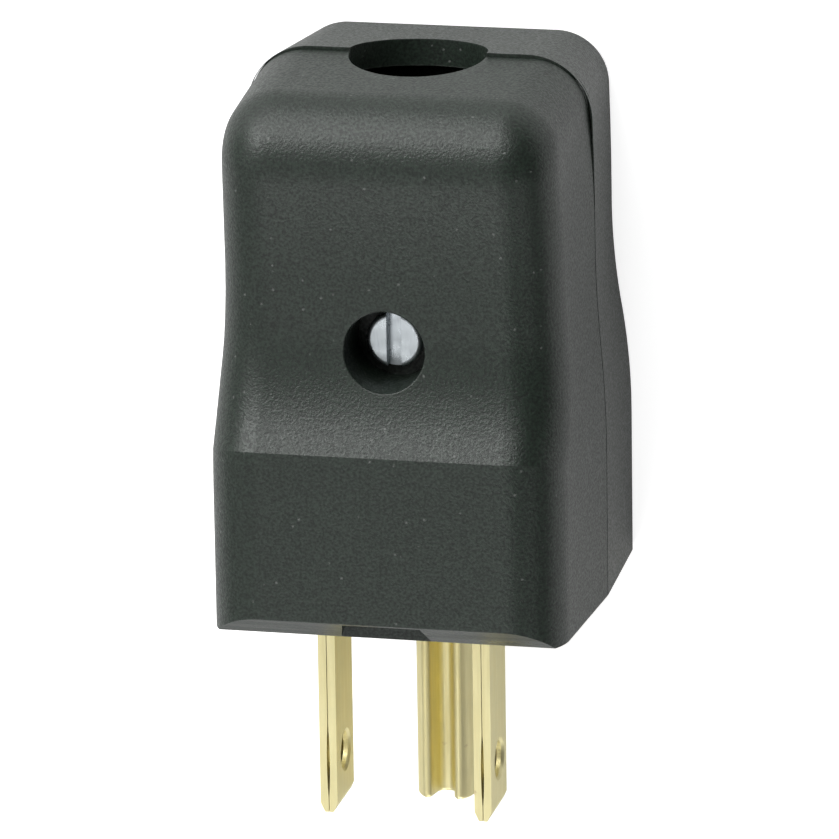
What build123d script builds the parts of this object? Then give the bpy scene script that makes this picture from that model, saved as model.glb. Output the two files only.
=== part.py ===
"""Rewirable grounded plug: two moulded covers, three brass pins, terminals and cord clamp.

The plug lies on the flat back of its rear cover. X runs across the two blades, Y runs along the
plug from the pin tips (-Y) to the cable end (+Y), and Z points out of the front cover.
The origin is under the middle of the overall length. All sizes are in millimetres.
"""
from build123d import *
import math
import os

# Body outline, measured at the parting plane and at the back of the rear cover
BODY_LENGTH = 44.5
BASE_WIDTH = 30.0
NECK_WIDTH = 28.4
BACK_BASE_WIDTH = 29.0
BACK_NECK_WIDTH = 25.9
FLARE_START = 11.9
FLARE_LENGTH = 18.0
CORNER_RADIUS = 4.5
NECK_BOW_START = 30.2
NECK_BOW = 1.05

# Depth of the two covers and their slopes
FRONT_DEPTH = 16.3
REAR_DEPTH = 13.0
FRONT_DRAFT_DEG = 3.1
FRONT_TOP_SLOPE_DEG = 5.2
REAR_TOP_SLOPE_DEG = 4.5
REAR_CORNER_RADIUS = 4.2
WALL = 2.2
BACK_EDGE_RADIUS = 0.8
PARTING_CHAMFER = 0.18

# Lip of the rear cover, which stands proud of the front cover round the cable end
LIP_HEIGHT = 0.28
LIP_THICKNESS = 0.09
LIP_SPREAD = 0.7
LIP_CORNER_RADIUS = 5.2
LIP_GROOVE_RADIUS = 4.6
LIP_GROOVE_BELOW_RIDGE = 0.06
LIP_GROOVE_DEPTH = 0.6

# Sunken panel of the front cover
SHOULDER_HEIGHT = 15.5
PANEL_SINK = 3.0
PANEL_FOOT_DEG = 31.0
PANEL_RADIUS = 15.0
PANEL_LEAN_DEG = 1.5
PANEL_BEND_HEIGHT = 31.5
PANEL_BEND_RADIUS = 50.0
UPPER_LEAN_DEG = 9.0
BROW_RADIUS = 5.5

# Bevel and pry notch along the lower front edge
BEVEL_DEPTH = 2.1
BEVEL_HEIGHT = 1.7
NOTCH_WIDTH = 7.3
NOTCH_HEIGHT = 1.55
NOTCH_END_SLANT = 0.5

# Cable entry
CABLE_HOLE_RADIUS = 5.55

# Flat blades, each a strip folded double
BLADE_PITCH = 12.7
BLADE_WIDTH = 6.35
LEAF_THICKNESS = 0.7
BLADE_REACH = 16.9
BLADE_ABOVE_PARTING = 5.3
TIP_TAPER_DEPTH = 0.35
TIP_TAPER_LENGTH = 0.75
FOLD_FLAT = 0.04
SEAM_GAP = 0.06
SEAM_BULGE = 0.26
DETENT_RADIUS = 1.55
DETENT_FROM_FACE = 12.6
DETENT_RIM = 0.22
DOUBLED_TAIL = 7.6

# Ground pin, a round bar with a soft groove along the front that faces the blades
GROUND_OFFSET = 11.9
GROUND_WIDTH = 4.8
GROUND_TAB_THICKNESS = 0.75
GROUND_GROOVE_MOUTH = 2.2
GROUND_GROOVE_FLOOR = 1.1
GROUND_GROOVE_DEPTH = 2.6
GROUND_GROOVE_RADIUS = 0.5
GROUND_LIP_RADIUS = 0.45
GROUND_REACH = 20.0
GROUND_BAR_TAIL = 7.2
GROUND_TIP_RADIUS = 0.35

# Screw terminals
TERMINAL_HEIGHT = 12.4
TERMINAL_TAB_LENGTH = 7.6
TAB_TO_WALL = 0.3
COLLAR_MARGIN = 0.45
COLLAR_HEIGHT = 1.1
PLATE_MARGIN = 0.35
GROUND_TAB_MARGIN = 0.5
WIRE_PLATE_LENGTH = 4.6
WIRE_PLATE_THICKNESS = 0.8
TERMINAL_HEAD_HEIGHT = 1.7
TERMINAL_HEAD_TO_SHANK = 1.77
TERMINAL_SHANK_LENGTH = 3.4

# Cover screw and its nut
COVER_SCREW_HEIGHT = 23.4
COVER_HEAD_RADIUS = 2.28
COVER_HEAD_HEIGHT = 1.7
COVER_HEAD_SINK = 3.4
COVER_SHANK_RADIUS = 1.3
COVER_SHANK_LENGTH = 15.5
RECESS_RADIUS = 3.25
RECESS_RIM = 0.12
BOSS_WALL = 1.25
NUT_FLATS = 5.0
NUT_HEIGHT = 2.2

# Cord clamp
CLAMP_HEIGHT = 32.6
CLAMP_TO_BOSS = 0.3
CLAMP_TO_WALL = 0.55
CLAMP_LENGTH = 6.0
CLAMP_THICKNESS = 2.2
CLAMP_CORNER_RADIUS = 1.5
CLAMP_BORE_RADIUS = 4.2
CLAMP_SCREW_FROM_END = 2.8
CLAMP_POST_RADIUS = 2.9
CRADLE_THICKNESS = 3.2
CLAMP_HEAD_RADIUS = 2.3
CLAMP_HEAD_HEIGHT = 1.8
CLAMP_SHANK_RADIUS = 1.4
CLAMP_SHANK_LENGTH = 9.0

# Shared clearances and screw slots
FIT_GAP = 0.1
SCREW_GAP = 0.06
SLOT_WIDTH = 1.2
SLOT_DEPTH = 1.0
HEAD_EDGE = 0.4
PLATE_CORNER_RADIUS = 0.25
OVERCUT = 5.0

# Directions that a face can look, and how closely it has to look that way
RIGHT = (1, 0, 0)
LEFT = (-1, 0, 0)
CABLEWARD = (0, 1, 0)
PINWARD = (0, -1, 0)
BACKWARD = (0, 0, -1)
MOSTLY = 0.8

# Places derived from the sizes above
MATING_Y = GROUND_REACH - (BODY_LENGTH + GROUND_REACH) / 2
RIDGE_Y = MATING_Y + BODY_LENGTH
FRONT_RIDGE_Y = RIDGE_Y - LIP_HEIGHT
PARTING_Z = REAR_DEPTH
FRONT_Z = PARTING_Z + FRONT_DEPTH
BLADE_Z = PARTING_Z + BLADE_ABOVE_PARTING
GROUND_Z = BLADE_Z - GROUND_OFFSET
BLADE_X = BLADE_PITCH / 2
BLADE_LOW_Z = BLADE_Z - BLADE_WIDTH / 2
BLADE_THICKNESS = 2 * LEAF_THICKNESS
GROUND_LOW_Z = GROUND_Z - GROUND_WIDTH / 2
GROUND_SEAT_Z = GROUND_LOW_Z + GROUND_TAB_THICKNESS + WIRE_PLATE_THICKNESS
TERMINAL_Y = MATING_Y + TERMINAL_HEIGHT
BLADE_TAB_WIDTH = BASE_WIDTH / 2 - WALL - TAB_TO_WALL - BLADE_X - LEAF_THICKNESS
BLADE_TAB_X = BLADE_X + LEAF_THICKNESS + BLADE_TAB_WIDTH / 2
COLLAR_RADIUS = BLADE_TAB_WIDTH / 2 - COLLAR_MARGIN
WIRE_PLATE_WIDTH = BLADE_TAB_WIDTH - 2 * PLATE_MARGIN
TERMINAL_HEAD_RADIUS = WIRE_PLATE_WIDTH / 2
TERMINAL_SHANK_RADIUS = TERMINAL_HEAD_RADIUS / TERMINAL_HEAD_TO_SHANK
GROUND_TAB_WIDTH = WIRE_PLATE_WIDTH + 2 * GROUND_TAB_MARGIN
COVER_SCREW_Y = MATING_Y + COVER_SCREW_HEIGHT
BOSS_RADIUS = RECESS_RADIUS + BOSS_WALL
CLAMP_Y = MATING_Y + CLAMP_HEIGHT
CLAMP_SPAN = NECK_WIDTH - 2 * (WALL + CLAMP_TO_WALL)
CLAMP_SCREW_X = CLAMP_SPAN / 2 - CLAMP_SCREW_FROM_END
CLAMP_ARCH_RADIUS = CLAMP_BORE_RADIUS + CLAMP_THICKNESS


def block(x_range, y_range, z_range):
    """Return a box between three pairs of limits."""
    sizes = [high - low for low, high in (x_range, y_range, z_range)]
    middle = [(high + low) / 2 for low, high in (x_range, y_range, z_range)]
    return Pos(*middle) * Box(*sizes)


def post(x, y, z_range, radius):
    """Return an upright cylinder between two heights."""
    low, high = z_range
    return Pos(x, y, (low + high) / 2) * Cylinder(radius, high - low)


def rod_along_y(x, z, y_range, radius):
    """Return a cylinder along the plug between two places."""
    low, high = y_range
    return Pos(x, (low + high) / 2, z) * Rot(90, 0, 0) * Cylinder(radius, high - low)


def shared_edges(first_faces, second_faces):
    """Return the edges that border a face of each group."""
    second = [edge for face in second_faces for edge in face.edges()]
    first = [edge for face in first_faces for edge in face.edges()]
    return [edge for edge in first if any(edge.is_same(other) for other in second)]


def faces_that_look(body, *directions):
    """Return the faces that look mostly along one of the directions."""
    return [
        face
        for face in body.faces()
        if any(face.normal_at().dot(Vector(direction)) > MOSTLY for direction in directions)
    ]


def faces_that_look_elsewhere(body, *directions):
    """Return the faces that look along none of the directions."""
    turned_away = faces_that_look(body, *directions)
    return [face for face in body.faces() if not any(face.is_same(other) for other in turned_away)]


def body_outline(half_base, half_neck, low_y, high_y, z, bow):
    """Return the flared outline of the body as a face at one height, its neck bowed in at the cable end."""
    flare_low = MATING_Y + FLARE_START
    flare_high = flare_low + FLARE_LENGTH
    half_middle = (half_base + half_neck) / 2
    flare_middle = (flare_low + flare_high) / 2
    bow_start = MATING_Y + NECK_BOW_START
    half_end = half_neck - bow * ((high_y - bow_start) / (RIDGE_Y - bow_start)) ** 2

    def flank(side):
        base = (side * half_base, flare_low)
        middle = (side * half_middle, flare_middle)
        neck = (side * half_neck, flare_high)
        bowed = (side * half_neck, bow_start)
        return [
            Line((side * half_base, low_y), base),
            TangentArc(base, middle, tangent=(0, 1)),
            TangentArc(neck, middle, tangent=(0, -1)),
            Line(neck, bowed),
            TangentArc(bowed, (side * half_end, high_y), tangent=(0, 1)),
        ]

    bottom = Line((-half_base, low_y), (half_base, low_y))
    top = Line((-half_end, high_y), (half_end, high_y))
    wire = Curve() + [bottom, top] + flank(1) + flank(-1)
    return Pos(0, 0, z) * make_face(wire)


def round_cable_end(outline, radius):
    """Return an outline with its two corners at the cable end rounded."""
    return fillet(outline.vertices().sort_by(Axis.Y)[-2:], radius)


def front_profile(inset):
    """Return the side profile of the front cover as a face in the YZ plane's own coordinates."""
    top_slope = math.tan(math.radians(FRONT_TOP_SLOPE_DEG))
    foot_slope = math.tan(math.radians(PANEL_FOOT_DEG))
    lean_slope = math.tan(math.radians(PANEL_LEAN_DEG))
    upper_slope = math.tan(math.radians(UPPER_LEAN_DEG))
    low_y = MATING_Y + inset
    ridge_y = FRONT_RIDGE_Y - inset
    crease_y = MATING_Y + SHOULDER_HEIGHT
    front_z = FRONT_Z - inset
    # The panel falls from the crease to its dip, runs on nearly level, then leans out to the brow
    dip_y = crease_y + PANEL_SINK / foot_slope
    dip_z = front_z - PANEL_SINK
    bend_y = MATING_Y + PANEL_BEND_HEIGHT
    bend_z = dip_z + (bend_y - dip_y) * lean_slope
    run = (ridge_y - bend_y - (bend_z - PARTING_Z) * top_slope) / (1 + upper_slope * top_slope)
    dip = (dip_y, dip_z)
    bend = (bend_y, bend_z)
    brow = (bend_y + run, bend_z + run * upper_slope)
    profile = make_face(
        Polyline(
            (ridge_y, PARTING_Z),
            (low_y, PARTING_Z),
            (low_y, front_z),
            (crease_y, front_z),
            dip,
            bend,
            brow,
            close=True,
        )
    )
    rounds = (
        (brow, BROW_RADIUS - inset),
        (bend, PANEL_BEND_RADIUS + inset),
        (dip, PANEL_RADIUS + inset),
    )
    for corner, radius in rounds:
        profile = fillet(profile.vertices().sort_by_distance(corner)[0], radius)
    return profile


def front_body(inset):
    """Return the front cover's outer form, or its hollow at a given wall thickness."""
    reach = FRONT_DEPTH + OVERCUT
    narrowing = reach * math.tan(math.radians(FRONT_DRAFT_DEG))
    half_base = BASE_WIDTH / 2 - inset
    half_neck = NECK_WIDTH / 2 - inset
    low_y = MATING_Y - OVERCUT
    high_y = RIDGE_Y + OVERCUT
    # The bow belongs to the rim and fades out at the front, so past the front it turns outwards
    front_bow = NECK_BOW * (1 - reach / FRONT_DEPTH)
    flanks = loft(
        [
            body_outline(half_base, half_neck, low_y, high_y, PARTING_Z, NECK_BOW),
            body_outline(
                half_base - narrowing, half_neck - narrowing, low_y, high_y, PARTING_Z + reach, front_bow
            ),
        ],
        ruled=True,
    )
    body = flanks & extrude(Plane.YZ * front_profile(inset), amount=BASE_WIDTH, both=True)
    flank_faces = faces_that_look(body, LEFT, RIGHT)
    outer_faces = faces_that_look_elsewhere(body, LEFT, RIGHT, PINWARD, BACKWARD)
    return fillet(shared_edges(flank_faces, outer_faces), CORNER_RADIUS - inset)


def rear_body(inset):
    """Return the rear cover's outer form, or its hollow at a given wall thickness."""
    drop = (REAR_DEPTH - inset) * math.tan(math.radians(REAR_TOP_SLOPE_DEG))
    half_base = BASE_WIDTH / 2 - inset
    half_neck = NECK_WIDTH / 2 - inset
    half_back_base = BACK_BASE_WIDTH / 2 - inset
    half_back_neck = BACK_NECK_WIDTH / 2 - inset
    low_y = MATING_Y + inset
    ridge_y = RIDGE_Y - inset
    bow = NECK_BOW - LIP_SPREAD
    back = body_outline(half_back_base, half_back_neck, low_y, ridge_y - drop, inset, bow)
    rim = body_outline(half_base, half_neck, low_y, ridge_y, PARTING_Z, bow)
    return loft(
        [
            round_cable_end(back, REAR_CORNER_RADIUS - inset),
            round_cable_end(rim, LIP_CORNER_RADIUS - inset),
        ],
        ruled=True,
    )


def parting_face(body):
    """Return the face of a cover that lies in the parting plane."""
    return body.faces().sort_by_distance((0, 0, PARTING_Z))[0]


def lip_groove():
    """Return the shadow gap between the front cover and the rear cover's lip."""
    lip_inside = body_outline(
        BASE_WIDTH / 2 - LIP_THICKNESS,
        NECK_WIDTH / 2 - LIP_THICKNESS,
        MATING_Y + LIP_THICKNESS,
        FRONT_RIDGE_Y - LIP_GROOVE_BELOW_RIDGE,
        PARTING_Z,
        NECK_BOW - LIP_SPREAD,
    )
    gap = round_cable_end(lip_inside, LIP_GROOVE_RADIUS) - parting_face(front_body(0))
    return extrude(gap, amount=-LIP_GROOVE_DEPTH, dir=(0, 0, 1))


def lower_bevel():
    """Return the wedge cut off the lower front edge, with the pry notch in its middle."""
    wedge = make_face(
        Polyline(
            (MATING_Y - OVERCUT, FRONT_Z - BEVEL_DEPTH * (1 + OVERCUT / BEVEL_HEIGHT)),
            (MATING_Y + BEVEL_HEIGHT + OVERCUT, FRONT_Z + BEVEL_DEPTH * OVERCUT / BEVEL_HEIGHT),
            (MATING_Y - OVERCUT, FRONT_Z + BEVEL_DEPTH * OVERCUT / BEVEL_HEIGHT),
            close=True,
        )
    )
    bevel = extrude(Plane.YZ * wedge, amount=BASE_WIDTH, both=True)
    half = NOTCH_WIDTH / 2
    mouth = make_face(
        Polyline(
            (-half, MATING_Y),
            (half, MATING_Y),
            (half - NOTCH_END_SLANT, MATING_Y + NOTCH_HEIGHT),
            (-half + NOTCH_END_SLANT, MATING_Y + NOTCH_HEIGHT),
            close=True,
        )
    )
    notch = extrude(Pos(0, 0, FRONT_Z - BEVEL_DEPTH) * mouth, amount=BEVEL_DEPTH + OVERCUT)
    return bevel + notch


def cable_hole():
    """Return the round way through the top walls, centred on the parting plane."""
    return rod_along_y(0, PARTING_Z, (RIDGE_Y - 2 * WALL, RIDGE_Y + OVERCUT), CABLE_HOLE_RADIUS)


def panel_height(height):
    """Return how high the panel stands at a given distance from the mating face."""
    probe = Line((MATING_Y + height, PARTING_Z), (MATING_Y + height, FRONT_Z + OVERCUT))
    return (probe & front_profile(0)).vertices().sort_by(Axis.Y)[-1].Y


HEAD_TOP_Z = panel_height(COVER_SCREW_HEIGHT) - COVER_HEAD_SINK
HEAD_SEAT_Z = HEAD_TOP_Z - COVER_HEAD_HEIGHT


def make_front_cover():
    """Return the front half shell with its screw boss, recess, blade slots and pin tongue."""
    outer = front_body(0)
    outer = chamfer(parting_face(outer).edges(), PARTING_CHAMFER)
    boss = post(0, COVER_SCREW_Y, (PARTING_Z, FRONT_Z), BOSS_RADIUS) & outer
    boss -= clamp_room()
    tongue = block(
        (-GROUND_WIDTH / 2, GROUND_WIDTH / 2),
        (MATING_Y, MATING_Y + WALL),
        (GROUND_Z + GROUND_WIDTH / 2 + FIT_GAP, PARTING_Z + FIT_GAP),
    )
    cover = outer - front_body(WALL) + boss + tongue
    cover -= post(0, COVER_SCREW_Y, (HEAD_SEAT_Z, FRONT_Z + OVERCUT), RECESS_RADIUS)
    mouth = cover.edges().sort_by_distance((RECESS_RADIUS, COVER_SCREW_Y, FRONT_Z))[0]
    cover = fillet(mouth, RECESS_RIM)
    cover -= post(0, COVER_SCREW_Y, (PARTING_Z - OVERCUT, HEAD_SEAT_Z), COVER_SHANK_RADIUS + SCREW_GAP)
    cover -= lower_bevel()
    cover -= cable_hole()
    half_slot = BLADE_THICKNESS / 2 + FIT_GAP
    for x in (-BLADE_X, BLADE_X):
        cover -= block(
            (x - half_slot, x + half_slot),
            (MATING_Y - OVERCUT, MATING_Y + WALL + FIT_GAP),
            (PARTING_Z - OVERCUT, BLADE_Z + BLADE_WIDTH / 2 + FIT_GAP),
        )
    return cover


def clamp_room():
    """Return the room that the cord clamp keeps clear of the screw boss."""
    half_span = CLAMP_SPAN / 2
    half_length = CLAMP_LENGTH / 2 + CLAMP_TO_BOSS
    return block(
        (-half_span, half_span),
        (CLAMP_Y - half_length, CLAMP_Y + half_length),
        (PARTING_Z - OVERCUT, PARTING_Z + CLAMP_ARCH_RADIUS + CLAMP_TO_BOSS),
    )


def terminal_ledge(side):
    """Return the rear cover's block that carries one blade's terminal tab."""
    inner_x = BLADE_X - BLADE_THICKNESS / 2
    outer_x = BLADE_X + LEAF_THICKNESS + BLADE_TAB_WIDTH
    tab_half = TERMINAL_TAB_LENGTH / 2
    y_range = (TERMINAL_Y - tab_half, TERMINAL_Y + tab_half)
    ledge = block((inner_x, outer_x), y_range, (WALL / 2, BLADE_LOW_Z))
    ledge -= post(
        BLADE_TAB_X,
        TERMINAL_Y,
        (BLADE_LOW_Z - COLLAR_HEIGHT - FIT_GAP, BLADE_LOW_Z),
        COLLAR_RADIUS + FIT_GAP,
    )
    ledge -= post(
        BLADE_TAB_X,
        TERMINAL_Y,
        (BLADE_LOW_Z - TERMINAL_SHANK_LENGTH, BLADE_LOW_Z),
        TERMINAL_SHANK_RADIUS + FIT_GAP,
    )
    return ledge if side > 0 else mirror(ledge, about=Plane.YZ)


def make_rear_cover():
    """Return the rear half shell with its ledges, nut boss, clamp posts and slot tongues."""
    outer = rear_body(0)
    back = outer.faces().sort_by(Axis.Z)[0]
    outer = fillet(back.edges(), BACK_EDGE_RADIUS)
    cover = outer - rear_body(WALL)
    tab_half = TERMINAL_TAB_LENGTH / 2
    for side in (-1, 1):
        x = side * BLADE_X
        half_slot = BLADE_THICKNESS / 2
        cover += terminal_ledge(side)
        cover += block(
            (x - half_slot, x + half_slot),
            (MATING_Y, MATING_Y + WALL),
            (PARTING_Z - FIT_GAP, BLADE_LOW_Z),
        )
        cover += post(side * CLAMP_SCREW_X, CLAMP_Y, (WALL / 2, PARTING_Z), CLAMP_POST_RADIUS)
    cover += post(0, COVER_SCREW_Y, (WALL / 2, PARTING_Z), BOSS_RADIUS)
    cover += block(
        (-GROUND_TAB_WIDTH / 2, GROUND_TAB_WIDTH / 2),
        (TERMINAL_Y - tab_half, TERMINAL_Y + tab_half),
        (WALL / 2, GROUND_LOW_Z),
    )
    cover += block(
        (-CLAMP_SCREW_X, CLAMP_SCREW_X),
        (CLAMP_Y - CRADLE_THICKNESS / 2, CLAMP_Y + CRADLE_THICKNESS / 2),
        (WALL / 2, PARTING_Z),
    )
    cover -= rod_along_y(0, PARTING_Z, (CLAMP_Y - CLAMP_LENGTH, CLAMP_Y + CLAMP_LENGTH), CLAMP_BORE_RADIUS)
    for side in (-1, 1):
        cover -= post(
            side * CLAMP_SCREW_X,
            CLAMP_Y,
            (PARTING_Z + CLAMP_THICKNESS - CLAMP_SHANK_LENGTH - FIT_GAP, PARTING_Z + FIT_GAP),
            CLAMP_SHANK_RADIUS + SCREW_GAP,
        )
    cover -= hexagon_post(NUT_FLATS / 2 + FIT_GAP, NUT_HEIGHT + FIT_GAP)
    cover -= post(
        0,
        COVER_SCREW_Y,
        (HEAD_SEAT_Z - COVER_SHANK_LENGTH - FIT_GAP, PARTING_Z + FIT_GAP),
        COVER_SHANK_RADIUS + SCREW_GAP,
    )
    cover -= post(
        0,
        TERMINAL_Y,
        (GROUND_SEAT_Z - TERMINAL_SHANK_LENGTH - FIT_GAP, GROUND_LOW_Z),
        TERMINAL_SHANK_RADIUS + FIT_GAP,
    )
    cover -= cable_hole()
    cover -= ground_slot()
    return cover - lip_groove()


def ground_slot():
    """Return the round-bottomed way that the ground pin drops into."""
    half = GROUND_WIDTH / 2 + FIT_GAP
    y_range = (MATING_Y - OVERCUT, MATING_Y + WALL + FIT_GAP)
    way = block((-half, half), y_range, (GROUND_Z, PARTING_Z + OVERCUT))
    return way + rod_along_y(0, GROUND_Z, y_range, half)


def make_blade():
    """Return the right blade: a strip folded double, its tail bent out to a terminal tab."""
    tip_y = MATING_Y - BLADE_REACH
    doubled_y = MATING_Y + DOUBLED_TAIL
    low_z = BLADE_LOW_Z
    high_z = BLADE_Z + BLADE_WIDTH / 2
    left_x = BLADE_X - LEAF_THICKNESS
    right_x = BLADE_X + LEAF_THICKNESS

    doubled = block((left_x, right_x), (tip_y, doubled_y), (low_z, high_z))
    fold_edges = doubled.edges().filter_by(Axis.Y).group_by(Axis.Z)[0]
    doubled = fillet(fold_edges, LEAF_THICKNESS - FOLD_FLAT)
    for side in (-1, 1):
        taper = make_face(
            Polyline(
                (BLADE_X + side * LEAF_THICKNESS, tip_y),
                (BLADE_X + side * LEAF_THICKNESS, tip_y + TIP_TAPER_LENGTH),
                (BLADE_X + side * (LEAF_THICKNESS - TIP_TAPER_DEPTH), tip_y),
                close=True,
            )
        )
        doubled -= extrude(Pos(0, 0, low_z) * taper, amount=BLADE_WIDTH, dir=(0, 0, 1))

    tab_low_y = TERMINAL_Y - TERMINAL_TAB_LENGTH / 2
    tab_high_y = TERMINAL_Y + TERMINAL_TAB_LENGTH / 2
    seam_x = BLADE_X + SEAM_GAP / 2
    leaf = block((seam_x, right_x), (doubled_y - LEAF_THICKNESS, tab_high_y), (low_z, high_z))
    tab = block(
        (seam_x, right_x + BLADE_TAB_WIDTH),
        (tab_low_y, tab_high_y),
        (low_z, low_z + LEAF_THICKNESS),
    )
    tab += post(BLADE_TAB_X, TERMINAL_Y, (low_z - COLLAR_HEIGHT, low_z + LEAF_THICKNESS), COLLAR_RADIUS)
    blade = doubled + leaf + tab
    blade -= post(
        BLADE_TAB_X,
        TERMINAL_Y,
        (low_z - OVERCUT, low_z + OVERCUT),
        TERMINAL_SHANK_RADIUS + SCREW_GAP,
    )
    blade -= blade_seam(tip_y, doubled_y, low_z + LEAF_THICKNESS, high_z)
    detent = Pos(BLADE_X, MATING_Y - DETENT_FROM_FACE, BLADE_Z) * Rot(0, 90, 0)
    blade -= detent * Cylinder(DETENT_RADIUS, BLADE_THICKNESS + OVERCUT)
    for side in (-1, 1):
        rim = Cone(DETENT_RADIUS, DETENT_RADIUS + DETENT_RIM, DETENT_RIM)
        face_x = BLADE_X + side * (LEAF_THICKNESS - DETENT_RIM / 2)
        blade -= Pos(face_x, MATING_Y - DETENT_FROM_FACE, BLADE_Z) * Rot(0, side * 90, 0) * rim
    return blade


def blade_seam(tip_y, doubled_y, low_z, high_z):
    """Return the thin gap between the two leaves, widest beside the detent hole."""
    detent_y = MATING_Y - DETENT_FROM_FACE
    half = SEAM_GAP / 2
    bulge = SEAM_BULGE / 2
    bulge_start = detent_y + 2 * DETENT_RADIUS
    bulge_end = detent_y - 2 * DETENT_RADIUS

    def flank(side):
        return [
            Line((BLADE_X + side * half, doubled_y + OVERCUT), (BLADE_X + side * half, bulge_start)),
            ThreePointArc(
                (BLADE_X + side * half, bulge_start),
                (BLADE_X + side * bulge, detent_y),
                (BLADE_X + side * half, bulge_end),
            ),
            Line((BLADE_X + side * half, bulge_end), (BLADE_X + side * half, tip_y - OVERCUT)),
        ]

    ends = [
        Line((BLADE_X - half, y), (BLADE_X + half, y)) for y in (doubled_y + OVERCUT, tip_y - OVERCUT)
    ]
    outline = make_face(Curve() + flank(-1) + flank(1) + ends)
    return extrude(Pos(0, 0, low_z) * outline, amount=high_z - low_z + OVERCUT)


def ground_section():
    """Return the ground pin's section: a round bar with a soft groove along its front."""
    radius = GROUND_WIDTH / 2
    floor = radius - GROUND_GROOVE_DEPTH
    half_mouth = GROUND_GROOVE_MOUTH / 2
    half_floor = GROUND_GROOVE_FLOOR / 2
    groove = make_face(Polyline(
        (-half_floor, floor),
        (half_floor, floor),
        (half_mouth, radius),
        (half_mouth, radius + OVERCUT),
        (-half_mouth, radius + OVERCUT),
        (-half_mouth, radius),
        close=True,
    ))
    section = Circle(radius) - groove
    floor_corners = section.vertices().sort_by_distance((0, floor, 0))[:2]
    section = fillet(floor_corners, GROUND_GROOVE_RADIUS)
    lips = section.vertices().sort_by(Axis.Y)[-2:]
    return fillet(lips, GROUND_LIP_RADIUS)


def make_ground_pin():
    """Return the ground pin: a round bar with a grooved front, its tail drawn out to a terminal tab."""
    tip_y = MATING_Y - GROUND_REACH
    tail_y = MATING_Y + GROUND_BAR_TAIL
    tail = Plane(origin=(0, tail_y, GROUND_Z), x_dir=(1, 0, 0), z_dir=(0, -1, 0))
    pin = extrude(tail * ground_section(), amount=tail_y - tip_y)
    pin = fillet(pin.faces().sort_by(Axis.Y)[0].edges(), GROUND_TIP_RADIUS)
    pin += block(
        (-GROUND_TAB_WIDTH / 2, GROUND_TAB_WIDTH / 2),
        (tail_y - GROUND_TAB_THICKNESS, TERMINAL_Y + TERMINAL_TAB_LENGTH / 2),
        (GROUND_LOW_Z, GROUND_LOW_Z + GROUND_TAB_THICKNESS),
    )
    return pin - post(0, TERMINAL_Y, (GROUND_LOW_Z - OVERCUT, GROUND_Z), TERMINAL_SHANK_RADIUS + SCREW_GAP)


def slotted_screw(seat, head_radius, head_height, shank_radius, shank_length):
    """Return an upright slotted screw whose head rests on a seat."""
    x, y, z = seat
    head = post(x, y, (z, z + head_height), head_radius)
    head = fillet(head.edges().group_by(Axis.Z)[-1], HEAD_EDGE)
    slot = Pos(x, y, z + head_height - SLOT_DEPTH / 2)
    head -= slot * Box(SLOT_WIDTH, 2 * (head_radius + OVERCUT), SLOT_DEPTH)
    shank = post(x, y, (z - shank_length, z), shank_radius)
    shank = chamfer(shank.edges().group_by(Axis.Z)[0], HEAD_EDGE)
    return head + shank


def make_wire_plate(x, low_z):
    """Return a square pressure plate with a hole for its terminal screw."""
    half_width = WIRE_PLATE_WIDTH / 2
    half_length = WIRE_PLATE_LENGTH / 2
    high_z = low_z + WIRE_PLATE_THICKNESS
    y_range = (TERMINAL_Y - half_length, TERMINAL_Y + half_length)
    plate = block((x - half_width, x + half_width), y_range, (low_z, high_z))
    plate = fillet(plate.edges().filter_by(Axis.Z), PLATE_CORNER_RADIUS)
    return plate - post(x, TERMINAL_Y, (low_z, high_z), TERMINAL_SHANK_RADIUS + SCREW_GAP)


def make_terminal_screw(x, tab_top_z):
    """Return the terminal screw that presses a wire plate onto its tab."""
    return slotted_screw(
        (x, TERMINAL_Y, tab_top_z + WIRE_PLATE_THICKNESS),
        TERMINAL_HEAD_RADIUS,
        TERMINAL_HEAD_HEIGHT,
        TERMINAL_SHANK_RADIUS,
        TERMINAL_SHANK_LENGTH - FIT_GAP,
    )


def make_clamp_bar():
    """Return the bridge that presses the cord's sheath into the cradle."""
    half_span = CLAMP_SPAN / 2
    y_range = (CLAMP_Y - CLAMP_LENGTH / 2, CLAMP_Y + CLAMP_LENGTH / 2)
    bar = block((-half_span, half_span), y_range, (PARTING_Z, PARTING_Z + CLAMP_THICKNESS))
    bar = fillet(bar.edges().filter_by(Axis.Z), CLAMP_CORNER_RADIUS)
    arch = rod_along_y(0, PARTING_Z, y_range, CLAMP_ARCH_RADIUS)
    upper_half = block((-half_span, half_span), y_range, (PARTING_Z, PARTING_Z + half_span))
    bar += arch & upper_half
    bar -= rod_along_y(0, PARTING_Z, (y_range[0] - OVERCUT, y_range[1] + OVERCUT), CLAMP_BORE_RADIUS)
    for side in (-1, 1):
        bar -= post(
            side * CLAMP_SCREW_X,
            CLAMP_Y,
            (PARTING_Z - OVERCUT, PARTING_Z + OVERCUT),
            CLAMP_SHANK_RADIUS + SCREW_GAP,
        )
        bar -= post(
            side * CLAMP_SCREW_X,
            CLAMP_Y,
            (PARTING_Z + CLAMP_THICKNESS, PARTING_Z + CLAMP_THICKNESS + OVERCUT),
            CLAMP_HEAD_RADIUS + FIT_GAP,
        )
    return bar


def hexagon_post(half_flats, height):
    """Return an upright hexagon that stands on the floor of the nut's pocket."""
    hexagon = RegularPolygon(half_flats, 6, major_radius=False)
    return extrude(Pos(0, COVER_SCREW_Y, PARTING_Z - NUT_HEIGHT) * hexagon, amount=height)


def make_nut():
    """Return the hexagon nut of the cover screw."""
    nut = hexagon_post(NUT_FLATS / 2, NUT_HEIGHT - FIT_GAP)
    return nut - post(0, COVER_SCREW_Y, (0, FRONT_Z), COVER_SHANK_RADIUS + SCREW_GAP)


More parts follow.
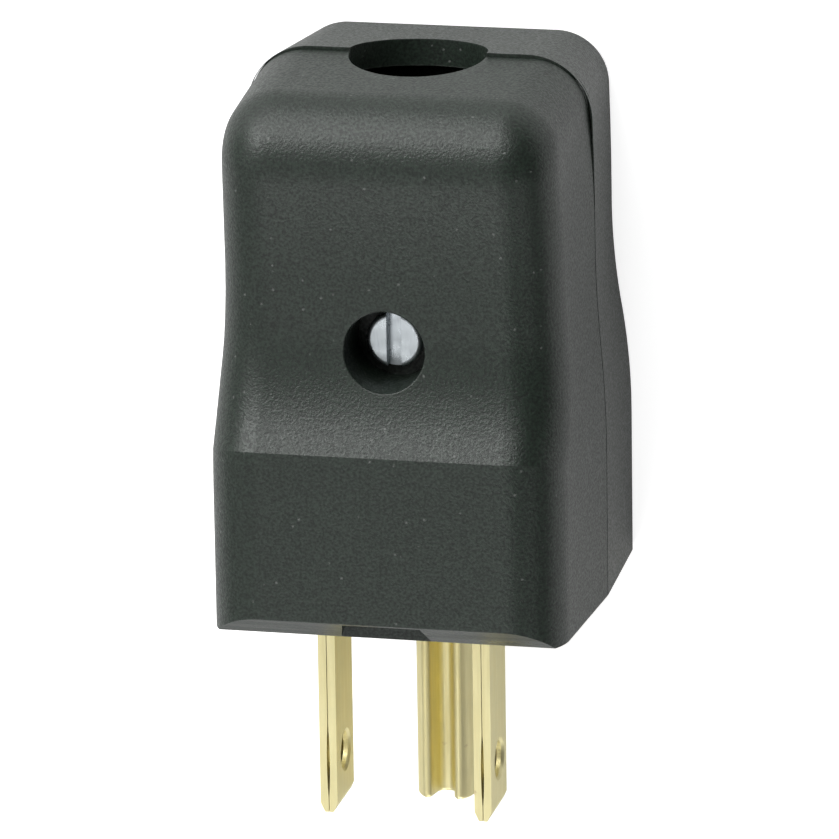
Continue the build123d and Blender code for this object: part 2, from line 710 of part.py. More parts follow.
def make_nodes():
    """Return every piece of the plug under its own name."""
    line_blade = make_blade()
    blade_tab_top = BLADE_LOW_Z + LEAF_THICKNESS
    ground_tab_top = GROUND_LOW_Z + GROUND_TAB_THICKNESS
    nodes = {
        "front_cover": make_front_cover(),
        "rear_cover": make_rear_cover(),
        "cover_screw": slotted_screw(
            (0, COVER_SCREW_Y, HEAD_SEAT_Z),
            COVER_HEAD_RADIUS,
            COVER_HEAD_HEIGHT,
            COVER_SHANK_RADIUS,
            COVER_SHANK_LENGTH,
        ),
        "cover_nut": make_nut(),
        "line_blade": line_blade,
        "neutral_blade": mirror(line_blade, about=Plane.YZ),
        "ground_pin": make_ground_pin(),
        "cord_clamp_bar": make_clamp_bar(),
    }
    terminals = {
        "line": (BLADE_TAB_X, blade_tab_top),
        "neutral": (-BLADE_TAB_X, blade_tab_top),
        "ground": (0, ground_tab_top),
    }
    for name, (x, tab_top) in terminals.items():
        nodes[f"{name}_wire_clamp"] = make_wire_plate(x, tab_top)
        nodes[f"{name}_terminal_screw"] = make_terminal_screw(x, tab_top)
    for name, side in (("left", -1), ("right", 1)):
        seat = (side * CLAMP_SCREW_X, CLAMP_Y, PARTING_Z + CLAMP_THICKNESS)
        nodes[f"cord_clamp_screw_{name}"] = slotted_screw(
            seat, CLAMP_HEAD_RADIUS, CLAMP_HEAD_HEIGHT, CLAMP_SHANK_RADIUS, CLAMP_SHANK_LENGTH
        )
    return nodes


if __name__ == "__main__":
    os.makedirs("parts", exist_ok=True)
    for node_name, shape in make_nodes().items():
        export_step(shape, f"parts/{node_name}.step")
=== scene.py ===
"""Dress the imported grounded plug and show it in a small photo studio."""

import logging
import math
from dataclasses import dataclass, field
from enum import Enum
from typing import ClassVar, Optional, Union

import bpy
from mathutils import Matrix, Vector

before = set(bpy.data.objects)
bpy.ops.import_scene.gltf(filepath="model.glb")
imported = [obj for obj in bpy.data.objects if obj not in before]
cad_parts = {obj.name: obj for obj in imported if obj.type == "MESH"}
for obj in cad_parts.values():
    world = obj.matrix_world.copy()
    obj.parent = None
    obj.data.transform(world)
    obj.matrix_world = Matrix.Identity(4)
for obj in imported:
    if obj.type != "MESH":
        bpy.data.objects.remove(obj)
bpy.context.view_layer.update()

MM = 0.001
log = logging.getLogger("plug")

Triple = tuple[float, float, float]
Colour = tuple[float, float, float, float]
Feed = Union[bpy.types.NodeSocket, float, tuple]


class Kind(Enum):
    """The kinds of socket that a shared effect takes and gives."""

    VALUE = "NodeSocketFloat"
    VECTOR = "NodeSocketVector"


class NodeBench:
    """A node tree with short ways to add nodes and wire them."""

    def __init__(self, tree: bpy.types.NodeTree) -> None:
        """Take an empty tree to work on."""
        self.tree = tree
        self.tree.nodes.clear()

    def add(self, kind: str, feeds: Optional[dict] = None, **settings: object) -> bpy.types.Node:
        """Add a node, set it up and feed its inputs.

        Args:
            kind: The node's Blender type.
            feeds: Input names or numbers, each with a socket to link or a constant.
            **settings: Properties of the node itself.

        Returns:
            The new node.
        """
        node = self.tree.nodes.new(kind)
        for name, value in settings.items():
            setattr(node, name, value)
        for key, value in (feeds or {}).items():
            self.feed(node.inputs[key], value)
        return node

    def feed(self, target: bpy.types.NodeSocket, value: Feed) -> None:
        """Link a socket to an input, or set the input to a constant."""
        if isinstance(value, bpy.types.NodeSocket):
            self.tree.links.new(value, target)
        else:
            target.default_value = value

    def sum(self, operation: str, first: Feed, second: Feed) -> bpy.types.NodeSocket:
        """Return the result of a two-input Math node."""
        node = self.add("ShaderNodeMath", {0: first, 1: second}, operation=operation)
        return node.outputs[0]

    def span(
        self, value: Feed, start: Feed, end: Feed, low: Feed, high: Feed
    ) -> bpy.types.NodeSocket:
        """Return a value eased from one range to another, and held at its ends."""
        node = self.add(
            "ShaderNodeMapRange",
            {"Value": value, "From Min": start, "From Max": end, "To Min": low, "To Max": high},
            interpolation_type="SMOOTHSTEP",
        )
        return node.outputs[0]

    def blend(self, share: Feed, first: Feed, second: Feed) -> bpy.types.NodeSocket:
        """Return a mix of two colours."""
        node = self.add("ShaderNodeMix", {0: share, 6: first, 7: second}, data_type="RGBA")
        return node.outputs[2]

    def tint(self, colour: Colour, factor: bpy.types.NodeSocket) -> bpy.types.NodeSocket:
        """Return a colour made lighter or darker by a factor."""
        node = self.add("ShaderNodeVectorMath", {0: colour[:3], "Scale": factor}, operation="SCALE")
        return node.outputs[0]

    def noise(
        self, vector: Feed, scale: Feed, detail: float = 2.0, rough: float = 0.5
    ) -> bpy.types.NodeSocket:
        """Return the value of a noise pattern."""
        feeds = {"Vector": vector, "Scale": scale, "Detail": detail, "Roughness": rough}
        return self.add("ShaderNodeTexNoise", feeds).outputs[0]

    def stretch(self, vector: Feed, scale: Feed) -> bpy.types.NodeSocket:
        """Return coordinates scaled by their own amount on each axis."""
        node = self.add("ShaderNodeVectorMath", {0: vector, 1: scale}, operation="MULTIPLY")
        return node.outputs[0]

    def place(self, group: bpy.types.NodeTree, feeds: dict) -> bpy.types.Node:
        """Place a shared effect with its own values."""
        node = self.add("ShaderNodeGroup", node_tree=group)
        for key, value in feeds.items():
            self.feed(node.inputs[key], value)
        return node


@dataclass(frozen=True)
class Port:
    """One named input or output of a shared effect."""

    name: str
    kind: Kind
    start: Optional[float] = None


@dataclass(frozen=True)
class SharedEffect:
    """A shader node group that several finishes place with their own values."""

    name: str
    takes: tuple[Port, ...]
    gives: tuple[Port, ...]

    def tree(self) -> bpy.types.NodeTree:
        """Return the effect's node group, built on its first use."""
        known = bpy.data.node_groups.get(self.name)
        if known:
            return known
        tree = bpy.data.node_groups.new(self.name, "ShaderNodeTree")
        for port in self.takes:
            socket = tree.interface.new_socket(port.name, in_out="INPUT", socket_type=port.kind.value)
            if port.start is not None:
                socket.default_value = port.start
        for port in self.gives:
            tree.interface.new_socket(port.name, in_out="OUTPUT", socket_type=port.kind.value)
        bench = NodeBench(tree)
        inlet = bench.add("NodeGroupInput")
        outlet = bench.add("NodeGroupOutput")
        for name, value in self.wire(bench, inlet.outputs).items():
            bench.feed(outlet.inputs[name], value)
        return tree

    def wire(self, bench: NodeBench, inlet: bpy.types.NodeOutputs) -> dict[str, bpy.types.NodeSocket]:
        """Wire the effect.

        Args:
            bench: The group's own tree.
            inlet: The group's inputs.

        Returns:
            The socket that feeds each output.
        """
        raise NotImplementedError


@dataclass(frozen=True)
class SparkGrain(SharedEffect):
    """The fine pitted skin that a spark-eroded mould leaves, with a few pale specks."""

    FINE_PER_PIT: ClassVar[float] = 2.7
    FINE_SHARE: ClassVar[float] = 0.45
    HEIGHT_RANGE: ClassVar[tuple[float, float]] = (0.45, 1.0)
    SHADE_RANGE: ClassVar[tuple[float, float]] = (0.45, 1.55)
    SPECKS_PER_PIT: ClassVar[float] = 0.45
    SPECK_STRAY: ClassVar[float] = 0.30 * MM
    SPECK_EDGE: ClassVar[tuple[float, float]] = (0.08, 0.30)
    SPECK_PICK: ClassVar[float] = 0.1

    name: str = "spark_grain"
    takes: tuple[Port, ...] = (
        Port("Vector", Kind.VECTOR),
        Port("Pits per Metre", Kind.VALUE, 3600.0),
        Port("Specks", Kind.VALUE, 0.5),
    )
    gives: tuple[Port, ...] = (
        Port("Height", Kind.VALUE),
        Port("Shade", Kind.VALUE),
        Port("Speck", Kind.VALUE),
    )

    def wire(self, bench: NodeBench, inlet: bpy.types.NodeOutputs) -> dict[str, bpy.types.NodeSocket]:
        """Wire coarse and fine pits, their shade and the specks."""
        coarse = bench.noise(inlet["Vector"], inlet["Pits per Metre"], 1.0)
        fine_scale = bench.sum("MULTIPLY", inlet["Pits per Metre"], self.FINE_PER_PIT)
        fine = bench.noise(inlet["Vector"], fine_scale, 2.0)
        fine_part = bench.sum("MULTIPLY", fine, self.FINE_SHARE)
        height = bench.sum("ADD", coarse, fine_part)
        shade = bench.span(height, *self.HEIGHT_RANGE, *self.SHADE_RANGE)
        speck_scale = bench.sum("MULTIPLY", inlet["Pits per Metre"], self.SPECKS_PER_PIT)
        ragged = bench.add(
            "ShaderNodeTexNoise", {"Vector": inlet["Vector"], "Scale": fine_scale, "Detail": 2.0}
        )
        shift = bench.add(
            "ShaderNodeVectorMath",
            {0: ragged.outputs["Color"], "Scale": self.SPECK_STRAY},
            operation="SCALE",
        )
        astray = bench.add(
            "ShaderNodeVectorMath", {0: inlet["Vector"], 1: shift.outputs[0]}, operation="ADD"
        )
        cells = bench.add(
            "ShaderNodeTexVoronoi", {"Vector": astray.outputs[0], "Scale": speck_scale, "Randomness": 1.0}
        )
        near = bench.span(cells.outputs["Distance"], *self.SPECK_EDGE, 1.0, 0.0)
        pick = bench.add("ShaderNodeSeparateColor", {0: cells.outputs["Color"]}).outputs[0]
        limit = bench.sum("SUBTRACT", 1.0, bench.sum("MULTIPLY", inlet["Specks"], self.SPECK_PICK))
        chosen = bench.sum("GREATER_THAN", pick, limit)
        return {"Height": height, "Shade": shade, "Speck": bench.sum("MULTIPLY", near, chosen)}


@dataclass(frozen=True)
class Mottle(SharedEffect):
    """Slow clouds of light and dark, as in any surface that was moulded, plated or rolled."""

    DETAIL: ClassVar[float] = 4.0
    ROUGHNESS: ClassVar[float] = 0.6
    CLOUD_RANGE: ClassVar[tuple[float, float]] = (0.25, 0.75)

    name: str = "mottle"
    takes: tuple[Port, ...] = (
        Port("Vector", Kind.VECTOR),
        Port("Clouds per Metre", Kind.VALUE, 300.0),
        Port("Depth", Kind.VALUE, 0.1),
    )
    gives: tuple[Port, ...] = (Port("Shade", Kind.VALUE), Port("Cloud", Kind.VALUE))

    def wire(self, bench: NodeBench, inlet: bpy.types.NodeOutputs) -> dict[str, bpy.types.NodeSocket]:
        """Wire the clouds and the shade around one that they give."""
        cloud = bench.noise(inlet["Vector"], inlet["Clouds per Metre"], self.DETAIL, self.ROUGHNESS)
        even = bench.span(cloud, *self.CLOUD_RANGE, -1.0, 1.0)
        shade = bench.sum("ADD", bench.sum("MULTIPLY", even, inlet["Depth"]), 1.0)
        return {"Shade": shade, "Cloud": bench.span(cloud, *self.CLOUD_RANGE, 0.0, 1.0)}


@dataclass(frozen=True)
class ToolStreaks(SharedEffect):
    """Long fine lines that rolling, drawing or a cutter leaves along one direction."""

    WIDE_PER_THIN: ClassVar[float] = 0.35
    LINE_RANGE: ClassVar[tuple[float, float]] = (0.32, 0.68)

    name: str = "tool_streaks"
    takes: tuple[Port, ...] = (Port("Vector", Kind.VECTOR), Port("Lines per Metre", Kind.VALUE, 6000.0))
    gives: tuple[Port, ...] = (Port("Line", Kind.VALUE),)

    def wire(self, bench: NodeBench, inlet: bpy.types.NodeOutputs) -> dict[str, bpy.types.NodeSocket]:
        """Wire two sets of lines, one finer than the other."""
        wide_scale = bench.sum("MULTIPLY", inlet["Lines per Metre"], self.WIDE_PER_THIN)
        wide = bench.noise(inlet["Vector"], wide_scale, 1.0)
        thin = bench.noise(inlet["Vector"], inlet["Lines per Metre"], 2.0)
        both = bench.sum("MULTIPLY", bench.sum("ADD", wide, thin), 0.5)
        return {"Line": bench.span(both, *self.LINE_RANGE, 0.0, 1.0)}


@dataclass(frozen=True)
class EdgeWear(SharedEffect):
    """A broken line of wear along outer edges, which the plastic also uses for a painted highlight."""

    AGREE_RANGE: ClassVar[tuple[float, float]] = (0.995, 0.86)
    BREAK_RANGE: ClassVar[tuple[float, float]] = (0.35, 0.65)
    LEAST_WEAR: ClassVar[float] = 0.15
    SAMPLES: ClassVar[int] = 4

    name: str = "edge_wear"
    takes: tuple[Port, ...] = (
        Port("Vector", Kind.VECTOR),
        Port("Reach", Kind.VALUE, 0.0002),
        Port("Breaks per Metre", Kind.VALUE, 900.0),
    )
    gives: tuple[Port, ...] = (Port("Wear", Kind.VALUE),)

    def wire(self, bench: NodeBench, inlet: bpy.types.NodeOutputs) -> dict[str, bpy.types.NodeSocket]:
        """Wire the edge mask from a softened normal, broken up by noise."""
        soft = bench.add("ShaderNodeBevel", {"Radius": inlet["Reach"]}, samples=self.SAMPLES)
        flat = bench.add("ShaderNodeNewGeometry")
        feeds = {0: soft.outputs[0], 1: flat.outputs["Normal"]}
        agree = bench.add("ShaderNodeVectorMath", feeds, operation="DOT_PRODUCT").outputs["Value"]
        edge = bench.span(agree, *self.AGREE_RANGE, 0.0, 1.0)
        breaks = bench.noise(inlet["Vector"], inlet["Breaks per Metre"], 3.0)
        broken = bench.span(breaks, *self.BREAK_RANGE, self.LEAST_WEAR, 1.0)
        return {"Wear": bench.sum("MULTIPLY", edge, broken)}


SPARK_GRAIN = SparkGrain()
MOTTLE = Mottle()
TOOL_STREAKS = ToolStreaks()
EDGE_WEAR = EdgeWear()


@dataclass(frozen=True)
class Finish:
    """A procedural finish: its name, and the common start and end of its material."""

    name: str = "finish"

    def material(self) -> bpy.types.Material:
        """Return the finish as a material, built on its first use."""
        known = bpy.data.materials.get(self.name)
        if known:
            return known
        made = bpy.data.materials.new(self.name)
        made.use_nodes = True
        bench = NodeBench(made.node_tree)
        where = bench.add("ShaderNodeTexCoord")
        shader = bench.add("ShaderNodeBsdfPrincipled")
        self.wire(bench, where.outputs, shader)
        bench.add("ShaderNodeOutputMaterial", {"Surface": shader.outputs[0]})
        return made

    def wire(self, bench: NodeBench, where: bpy.types.NodeOutputs, shader: bpy.types.Node) -> None:
        """Wire the finish into its shader.

        Args:
            bench: The material's tree.
            where: The outputs of its Texture Coordinate node.
            shader: The Principled shader to feed.
        """
        raise NotImplementedError


@dataclass(frozen=True)
class MouldedPlastic(Finish):
    """Dark grey thermoplastic with a spark-eroded skin and a smoother bevel above the pins."""

    name: str = "moulded_plastic"
    colour: Colour = (0.0175, 0.0258, 0.0195, 1.0)
    # Pale speck colour, partly a painted glint.
    speck_and_glint_colour: Colour = (0.16, 0.17, 0.16, 1.0)
    # Edge colour: partly wear and partly a painted highlight.
    worn_and_highlight_colour: Colour = (0.120, 0.130, 0.122, 1.0)
    roughness: float = 0.37
    roughness_swing: float = 0.07
    smooth_roughness: float = 0.30
    streak_swing: tuple[float, float] = (-0.06, 0.10)
    streak_stretch: Triple = (0.05, 1.0, 1.0)
    streaks_per_metre: float = 2600.0
    specks: float = 0.35
    speck_strength: tuple[float, float] = (0.75, 0.25)
    clouds_per_metre: float = 260.0
    cloud_depth: float = 0.07
    wear_reach: float = 0.22 * MM
    wear_and_highlight_strength: float = 0.55
    smooth_from: tuple[float, float] = (-0.12, -0.45)
    smooth_pits: float = 0.3
    refraction: float = 1.49
    pits_per_metre: float = 4600.0
    pit_depth: float = 0.036 * MM

    def wire(self, bench: NodeBench, where: bpy.types.NodeOutputs, shader: bpy.types.Node) -> None:
        """Wire grain, mottling, pale specks partly painted as glints, edge wear with a painted highlight,
        and the smooth band of the bevel.
        """
        place = where["Object"]
        grain = bench.place(
            SPARK_GRAIN.tree(),
            {"Vector": place, "Pits per Metre": self.pits_per_metre, "Specks": self.specks},
        )
        cloud = bench.place(
            MOTTLE.tree(),
            {"Vector": place, "Clouds per Metre": self.clouds_per_metre, "Depth": self.cloud_depth},
        )
        wear = bench.place(EDGE_WEAR.tree(), {"Vector": place, "Reach": self.wear_reach})
        lines = bench.place(
            TOOL_STREAKS.tree(),
            {
                "Vector": bench.stretch(place, self.streak_stretch),
                "Lines per Metre": self.streaks_per_metre,
            },
        )
        facing = bench.add("ShaderNodeSeparateXYZ", {0: where["Normal"]}).outputs["Y"]
        smooth = bench.span(facing, *self.smooth_from, 0.0, 1.0)
        shade = bench.sum("MULTIPLY", grain.outputs["Shade"], cloud.outputs["Shade"])
        body = bench.tint(self.colour, shade)
        # Pale specks, partly painted glints, fewer on the smooth bevel.
        speck_and_glint_share = bench.span(smooth, 0.0, 1.0, *self.speck_strength)
        speck_and_glint = bench.sum("MULTIPLY", grain.outputs["Speck"], speck_and_glint_share)
        specked_and_glinting = bench.blend(speck_and_glint, body, self.speck_and_glint_colour)
        # Edges lighten toward the worn colour, partly as wear and partly as a painted highlight.
        wear_and_painted_highlight = bench.sum("MULTIPLY", wear.outputs["Wear"], self.wear_and_highlight_strength)
        bench.feed(shader.inputs["Base Color"], bench.blend(wear_and_painted_highlight, specked_and_glinting, self.worn_and_highlight_colour))
        dull = bench.span(
            grain.outputs["Shade"],
            *SparkGrain.SHADE_RANGE,
            self.roughness + self.roughness_swing,
            self.roughness - self.roughness_swing,
        )
        low, high = (self.smooth_roughness + swing for swing in self.streak_swing)
        lined = bench.span(lines.outputs["Line"], 0.0, 1.0, low, high)
        rough = bench.add("ShaderNodeMix", {0: smooth, 2: dull, 3: lined}, data_type="FLOAT").outputs[0]
        bench.feed(shader.inputs["Roughness"], rough)
        pit_share = bench.span(smooth, 0.0, 1.0, 1.0, self.smooth_pits)
        pitted = bench.sum("MULTIPLY", grain.outputs["Height"], pit_share)
        bump = bench.add("ShaderNodeBump", {"Strength": 1.0, "Distance": self.pit_depth, "Height": pitted})
        bench.feed(shader.inputs["Normal"], bump.outputs[0])
        shader.inputs["IOR"].default_value = self.refraction


@dataclass(frozen=True)
class RolledBrass(Finish):
    """Bright rolled brass strip, streaked along the pins and faintly tarnished."""

    name: str = "rolled_brass"
    colour: Colour = (0.96, 0.88, 0.50, 1.0)
    tarnish: Colour = (0.56, 0.44, 0.20, 1.0)
    tarnish_share: tuple[float, float] = (0.16, 0.05)
    roughness: float = 0.47
    roughness_swing: tuple[float, float] = (0.07, -0.06)
    streak_stretch: Triple = (1.0, 0.05, 1.0)
    streaks_per_metre: float = 5600.0
    streak_strength: float = 0.4
    streak_depth: float = 0.002 * MM
    clouds_per_metre: float = 420.0
    cloud_depth: float = 0.05
    wear_reach: float = 0.15 * MM
    pits_per_metre: float = 2300.0
    specks: float = 0.5
    speck_strength: float = 0.55

    def wire(self, bench: NodeBench, where: bpy.types.NodeOutputs, shader: bpy.types.Node) -> None:
        """Wire rolling lines, tarnish clouds and bright rubbed edges."""
        place = where["Object"]
        lines = bench.place(
            TOOL_STREAKS.tree(),
            {
                "Vector": bench.stretch(place, self.streak_stretch),
                "Lines per Metre": self.streaks_per_metre,
            },
        )
        cloud = bench.place(
            MOTTLE.tree(),
            {"Vector": place, "Clouds per Metre": self.clouds_per_metre, "Depth": self.cloud_depth},
        )
        wear = bench.place(EDGE_WEAR.tree(), {"Vector": place, "Reach": self.wear_reach})
        grain = bench.place(
            SPARK_GRAIN.tree(),
            {"Vector": place, "Pits per Metre": self.pits_per_metre, "Specks": self.specks},
        )
        body = bench.tint(self.colour, cloud.outputs["Shade"])
        line_share = bench.span(lines.outputs["Line"], 0.0, 1.0, *self.tarnish_share)
        dim = bench.sum("MULTIPLY", cloud.outputs["Cloud"], line_share)
        aged = bench.blend(dim, body, self.tarnish)
        spot = bench.sum("MULTIPLY", grain.outputs["Speck"], self.speck_strength)
        spotted = bench.blend(spot, aged, self.tarnish)
        bench.feed(shader.inputs["Base Color"], bench.blend(wear.outputs["Wear"], spotted, self.colour))
        low, high = (self.roughness + swing for swing in self.roughness_swing)
        rough = bench.span(lines.outputs["Line"], 0.0, 1.0, low, high)
        bench.feed(shader.inputs["Roughness"], rough)
        bump = bench.add(
            "ShaderNodeBump",
            {
                "Strength": self.streak_strength,
                "Distance": self.streak_depth,
                "Height": lines.outputs["Line"],
            },
        )
        bench.feed(shader.inputs["Normal"], bump.outputs[0])
        shader.inputs["Metallic"].default_value = 1.0


@dataclass(frozen=True)
class ZincPlate(Finish):
    """Bright zinc plate over turned steel."""

    name: str = "zinc_plate"
    colour: Colour = (0.66, 0.71, 0.74, 1.0)
    dull_and_shade_colour: Colour = (0.40, 0.45, 0.49, 1.0)
    roughness: float = 0.30
    roughness_swing: tuple[float, float] = (-0.05, 0.08)
    line_stretch: Triple = (1.0, 0.15, 0.15)
    lines_per_metre: float = 7000.0
    line_dimming: float = 0.30
    line_strength: float = 0.6
    line_depth: float = 0.004 * MM
    clouds_per_metre: float = 700.0
    cloud_depth: float = 0.06
    wear_reach: float = 0.12 * MM
    # Reach, range and samples of the painted shade in the slot and other hollows.
    painted_shade_reach: float = 0.9 * MM
    painted_shade_range: tuple[float, float] = (0.30, 0.85)
    painted_shade_samples: int = 8

    def wire(self, bench: NodeBench, where: bpy.types.NodeOutputs, shader: bpy.types.Node) -> None:
        """Wire plating clouds, cutter lines, painted shade in hollows and rubbed edges."""
        place = where["Object"]
        lines = bench.place(
            TOOL_STREAKS.tree(),
            {"Vector": bench.stretch(place, self.line_stretch), "Lines per Metre": self.lines_per_metre},
        )
        cloud = bench.place(
            MOTTLE.tree(),
            {"Vector": place, "Clouds per Metre": self.clouds_per_metre, "Depth": self.cloud_depth},
        )
        wear = bench.place(EDGE_WEAR.tree(), {"Vector": place, "Reach": self.wear_reach})
        body = bench.tint(self.colour, cloud.outputs["Shade"])
        dim = bench.span(lines.outputs["Line"], 0.0, 0.5, self.line_dimming, 0.0)
        # Painted shade: ambient occlusion on the screw itself darkens the slot and other hollows toward
        # the dull colour, which also dims the cutter lines.
        painted_shade_occlusion = bench.add(
            "ShaderNodeAmbientOcclusion",
            {"Distance": self.painted_shade_reach},
            samples=self.painted_shade_samples,
            only_local=True,
        )
        painted_hollow_shade = bench.span(painted_shade_occlusion.outputs["AO"], *self.painted_shade_range, 1.0, 0.0)
        plated_and_shaded = bench.blend(bench.sum("MAXIMUM", dim, painted_hollow_shade), body, self.dull_and_shade_colour)
        bench.feed(shader.inputs["Base Color"], bench.blend(wear.outputs["Wear"], plated_and_shaded, self.colour))
        low, high = (self.roughness + swing for swing in self.roughness_swing)
        rough = bench.span(cloud.outputs["Cloud"], 0.0, 1.0, low, high)
        bench.feed(shader.inputs["Roughness"], rough)
        bump = bench.add(
            "ShaderNodeBump",
            {"Strength": self.line_strength, "Distance": self.line_depth, "Height": lines.outputs["Line"]},
        )
        bench.feed(shader.inputs["Normal"], bump.outputs[0])
        shader.inputs["Metallic"].default_value = 1.0


@dataclass(frozen=True)
class FloorPaper(Finish):
    """White background paper that stays white to the camera and keeps a faint shadow."""

    name: str = "floor_paper"
    colour: Colour = (0.82, 0.82, 0.82, 1.0)
    glow_colour: Colour = (1.0, 1.0, 1.0, 1.0)
    clouds_per_metre: float = 40.0
    cloud_depth: float = 0.01
    roughness: float = 0.9
    specular: float = 0.1
    glow_to_camera: float = 0.72
    glow_in_gloss: float = 0.06

    def wire(self, bench: NodeBench, where: bpy.types.NodeOutputs, shader: bpy.types.Node) -> None:
        """Wire faint paper clouds and the share of plain white that the camera sees."""
        cloud = bench.place(
            MOTTLE.tree(),
            {
                "Vector": where["Object"],
                "Clouds per Metre": self.clouds_per_metre,
                "Depth": self.cloud_depth,
            },
        )
        bench.feed(shader.inputs["Base Color"], bench.tint(self.colour, cloud.outputs["Shade"]))
        shader.inputs["Roughness"].default_value = self.roughness
        shader.inputs["Specular IOR Level"].default_value = self.specular
        path = bench.add("ShaderNodeLightPath")
        seen = bench.sum("MAXIMUM", path.outputs["Is Camera Ray"], path.outputs["Is Transmission Ray"])
        direct = bench.sum("MULTIPLY", seen, self.glow_to_camera)
        glossy = bench.sum("MULTIPLY", path.outputs["Is Glossy Ray"], self.glow_in_gloss)
        shader.inputs["Emission Color"].default_value = self.glow_colour
        bench.feed(shader.inputs["Emission Strength"], bench.sum("ADD", direct, glossy))


@dataclass
class CoverPair:
    """The two moulded covers and the bar that holds the cord between them."""

    finish: MouldedPlastic = field(default_factory=MouldedPlastic)
    nodes: tuple[str, ...] = ("front_cover", "rear_cover", "cord_clamp_bar")

    def dress(self) -> None:
        """Give the covers their moulded skin."""
        dress_nodes(self.nodes, self.finish)


@dataclass
class PinSet:
    """The two folded blades and the grooved ground pin."""

    finish: RolledBrass = field(default_factory=RolledBrass)
    nodes: tuple[str, ...] = ("line_blade", "neutral_blade", "ground_pin")

    def dress(self) -> None:
        """Give the pins their rolled brass."""
        dress_nodes(self.nodes, self.finish)


@dataclass
class Fasteners:
    """The plated screws, nut and pressure plates."""

    finish: ZincPlate = field(default_factory=ZincPlate)
    nodes: tuple[str, ...] = (
        "cover_screw",
        "cover_nut",
        "line_wire_clamp",
        "neutral_wire_clamp",
        "ground_wire_clamp",
        "line_terminal_screw",
        "neutral_terminal_screw",
        "ground_terminal_screw",
        "cord_clamp_screw_left",
        "cord_clamp_screw_right",
    )

    def dress(self) -> None:
        """Give the fasteners their zinc plate."""
        dress_nodes(self.nodes, self.finish)


def dress_nodes(nodes: tuple[str, ...], finish: Finish) -> None:
    """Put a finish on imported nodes.

    Args:
        nodes: The names of the nodes.
        finish: The finish that all of them get.
    """
    for name in nodes:
        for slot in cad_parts[name].material_slots:
            slot.material = finish.material()
        log.info("%s: %s", name, finish.name)


@dataclass(frozen=True)
class Softbox:
    """A soft lamp that looks at the plug from one direction."""

    name: str
    towards: Triple
    power: float
    distance: float = 1.2
    width: float = 0.5
    height: float = 0.5

    def build(self, middle: Vector) -> bpy.types.Object:
        """Hang the lamp.

        Args:
            middle: The point that it looks at.

        Returns:
            The lamp's object.
        """
        data = bpy.data.lights.new(self.name, "AREA")
        data.shape = "RECTANGLE"
        data.size = self.width
        data.size_y = self.height
        data.energy = self.power
        lamp = bpy.data.objects.new(self.name, data)
        away = Vector(self.towards).normalized()
        lamp.matrix_world = Matrix.Translation(middle + away * self.distance) @ (
            away.to_track_quat("Z", "Y").to_matrix().to_4x4()
        )
        bpy.context.scene.collection.objects.link(lamp)
        log.info("lamp %s", self.name)
        return lamp


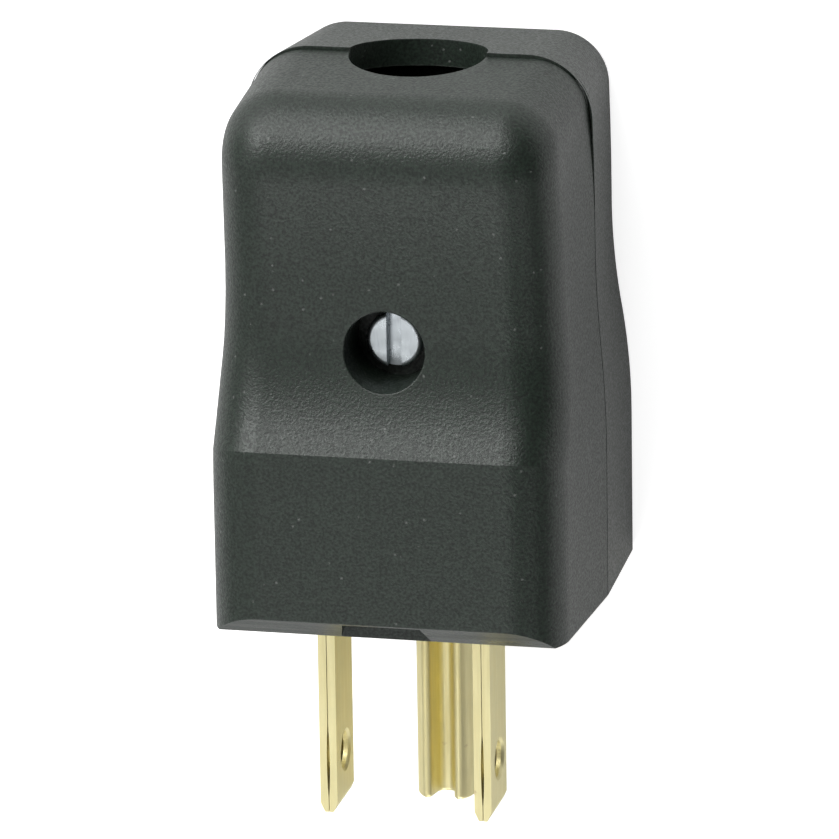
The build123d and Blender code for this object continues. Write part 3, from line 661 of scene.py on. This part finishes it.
@dataclass
class Studio:
    """The paper floor, the grey room and the lamps."""

    paper: FloorPaper = field(default_factory=FloorPaper)
    floor_radius: float = 2.5
    floor_corners: int = 96
    room_grey: float = 0.006
    middle: Triple = (0.0, 0.010, 0.015)
    lamps: tuple[Softbox, ...] = (
        Softbox("key_box", (-0.507, 0.604, 0.616), 6.7),
        Softbox("cable_end_box", (-0.252, 0.941, 0.225), 3.7),
        Softbox("far_left_box", (-0.689, 0.689, 0.225), 1.9),
        Softbox("brow_box", (0.0, 0.788, 0.616), 3.7),
        Softbox("high_cable_box", (0.0, 0.454, 0.891), 0.4),
        Softbox("left_box", (-0.776, 0.137, 0.616), 1.1),
        Softbox("left_low_box", (-0.682, -0.394, 0.616), 0.8),
        Softbox("left_side_box", (-0.941, -0.252, 0.225), 0.4),
        Softbox("high_left_box", (-0.393, 0.227, 0.891), 0.6),
        Softbox("overhead_box", (-0.17, -0.20, 0.965), 0.7),
        Softbox("front_box", (0.0, -0.454, 0.891), 1.0),
        Softbox("panel_box", (-0.27, -0.74, 0.616), 2.6),
        Softbox("panel_right_box", (0.27, -0.74, 0.616), 0.4),
        Softbox("right_low_box", (0.682, -0.394, 0.616), 0.8),
        Softbox("pin_side_box", (0.252, -0.941, 0.225), 5.5),
    )

    def lay_floor(self) -> None:
        """Lay the paper under the plug."""
        bpy.ops.object.select_all(action="DESELECT")
        bpy.ops.mesh.primitive_circle_add(
            vertices=self.floor_corners, radius=self.floor_radius, fill_type="NGON"
        )
        floor = bpy.context.object
        floor.name = "paper_floor"
        floor.data.materials.append(self.paper.material())
        log.info("floor laid")

    def paint_room(self) -> None:
        """Give the room around the floor an even grey."""
        room = bpy.data.worlds.new("grey_room")
        room.use_nodes = True
        bench = NodeBench(room.node_tree)
        grey = (self.room_grey, self.room_grey, self.room_grey, 1.0)
        wall = bench.add("ShaderNodeBackground", {"Color": grey, "Strength": 1.0})
        bench.add("ShaderNodeOutputWorld", {"Surface": wall.outputs[0]})
        bpy.context.scene.world = room

    def build(self) -> None:
        """Set up the whole studio."""
        self.lay_floor()
        self.paint_room()
        for lamp in self.lamps:
            lamp.build(Vector(self.middle))
        bpy.context.scene.view_settings.view_transform = "Standard"


@dataclass(frozen=True)
class PhotoCamera:
    """A long lens that looks down on the plug from the photograph's side."""

    target: Triple = (0.338 * MM, 2.609 * MM, 16.0 * MM)
    turn_deg: float = 13.139
    rise_deg: float = 16.569
    roll_deg: float = 0.884
    distance: float = 632.848 * MM
    focal_pixels: float = 7916.2
    image_pixels: float = 839.0
    sensor_width: float = 36.0
    clip_start: float = 0.01
    clip_end: float = 20.0

    def build(self) -> bpy.types.Object:
        """Set up the camera and make it the scene's own.

        Returns:
            The camera's object.
        """
        turn = math.radians(self.turn_deg)
        rise = math.radians(self.rise_deg)
        roll = math.radians(self.roll_deg)
        back = Vector((math.sin(turn) * math.cos(rise), math.sin(rise), math.cos(turn) * math.cos(rise)))
        level = Vector((math.cos(turn), 0.0, -math.sin(turn)))
        upright = back.cross(level)
        right = math.cos(roll) * level - math.sin(roll) * upright
        up = math.sin(roll) * level + math.cos(roll) * upright
        data = bpy.data.cameras.new("photo_camera")
        data.sensor_fit = "HORIZONTAL"
        data.sensor_width = self.sensor_width
        data.lens = self.focal_pixels * self.sensor_width / self.image_pixels
        data.clip_start = self.clip_start
        data.clip_end = self.clip_end
        camera = bpy.data.objects.new("photo_camera", data)
        turned = Matrix((right, up, back)).transposed().to_4x4()
        camera.matrix_world = Matrix.Translation(Vector(self.target) + back * self.distance) @ turned
        bpy.context.scene.collection.objects.link(camera)
        bpy.context.scene.camera = camera
        log.info("camera set")
        return camera


def main() -> None:
    """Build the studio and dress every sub-assembly."""
    logging.basicConfig(level=logging.INFO, format="%(name)s %(message)s")
    PhotoCamera().build()
    Studio().build()
    CoverPair().dress()
    PinSet().dress()
    Fasteners().dress()


if __name__ == "__main__":
    main()
